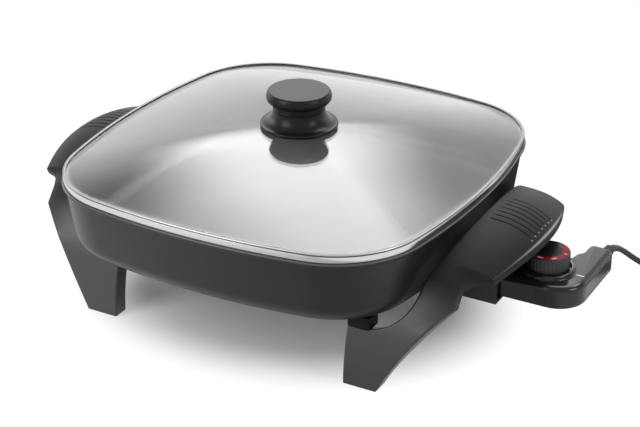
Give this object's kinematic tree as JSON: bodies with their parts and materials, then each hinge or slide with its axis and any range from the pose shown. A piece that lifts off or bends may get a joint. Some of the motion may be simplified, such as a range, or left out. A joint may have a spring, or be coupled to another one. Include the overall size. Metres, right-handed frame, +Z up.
{
  "type": "electric skillet",
  "caption": "Square electric skillet on arched side frames with handles, lift-off domed glass lid with knob, and plug-in temperature control with dial and flat mains lead.",
  "frame": {"origin": "middle of the skillet's footprint, control included and lead left out, on the surface that the feet stand on", "axes": "+Z up, +X from the pan towards the temperature control, +Y from front to back, so the front faces -Y"},
  "size_m": [0.5454, 0.3525, 0.1631],
  "materials": {
    "coated_aluminium": "satin non-stick coat on cast aluminium",
    "sheath_steel": "dull heat-darkened steel",
    "ceramic": "unglazed",
    "plated_steel": "bright plated",
    "black_phenolic": "matte moulded black",
    "grey_frame": "satin dark grey moulding",
    "lid_glass": "clear polished, lightly grey",
    "band_steel": "satin polished band",
    "knob_black": "satin moulded black",
    "brass": "plain",
    "silicone": "matte",
    "control_black": "fine matte texture",
    "dial_print": "printed ring with light numbers on black",
    "bracket_steel": "plain strip",
    "contact_alloy": "spring alloy strip",
    "wire_sleeve": "braided glass sleeve",
    "cord_black": "satin flat cord sheath"
  },
  "bodies": {
    "base": {"pan": "coated_aluminium", "heating_element": "sheath_steel", "element_seals": "ceramic", "terminal_pins": "plated_steel", "socket_guard": "black_phenolic", "guard_screws": "plated_steel", "left_frame": "grey_frame", "right_frame": "grey_frame", "frame_spacers": "black_phenolic", "frame_screws": "plated_steel"},
    "lid": {"lid_glass": "lid_glass", "lid_rim": "band_steel", "knob_base": "knob_black", "knob_grip": "knob_black", "knob_insert": "brass", "knob_washer": "silicone", "knob_screw": "plated_steel"},
    "control": {"control_lower_shell": "control_black", "control_upper_shell": "control_black", "control_screws": "plated_steel", "probe_tube": "plated_steel", "probe_rod": "ceramic", "thermostat_bracket": "bracket_steel", "contact_stack": "ceramic", "contact_blades": "contact_alloy", "female_contacts": "contact_alloy", "lead_wires": "wire_sleeve", "strain_relief": "cord_black", "cord_tube": "cord_black", "cord_coil": "cord_black", "cord_tail": "cord_black", "plug_body": "cord_black", "plug_blades": "brass"},
    "dial": {"dial_knob": "black_phenolic", "dial_plate": "dial_print", "dial_shaft": "plated_steel"}
  },
  "joints": [
    {"name": "lid_lift", "type": "slide", "parent": "base", "child": "lid", "axis": [0, 0, 1], "range_m": [0, 0.18]},
    {"name": "control_pull", "type": "slide", "parent": "base", "child": "control", "axis": [1, 0, 0], "range_m": [0, 0.08]},
    {"name": "dial_turn", "type": "hinge", "parent": "control", "child": "dial", "pos_m": [0.18355, 0.008, 0.07], "axis": [0, 0, -1], "range_deg": [0, 290]}
  ]
}
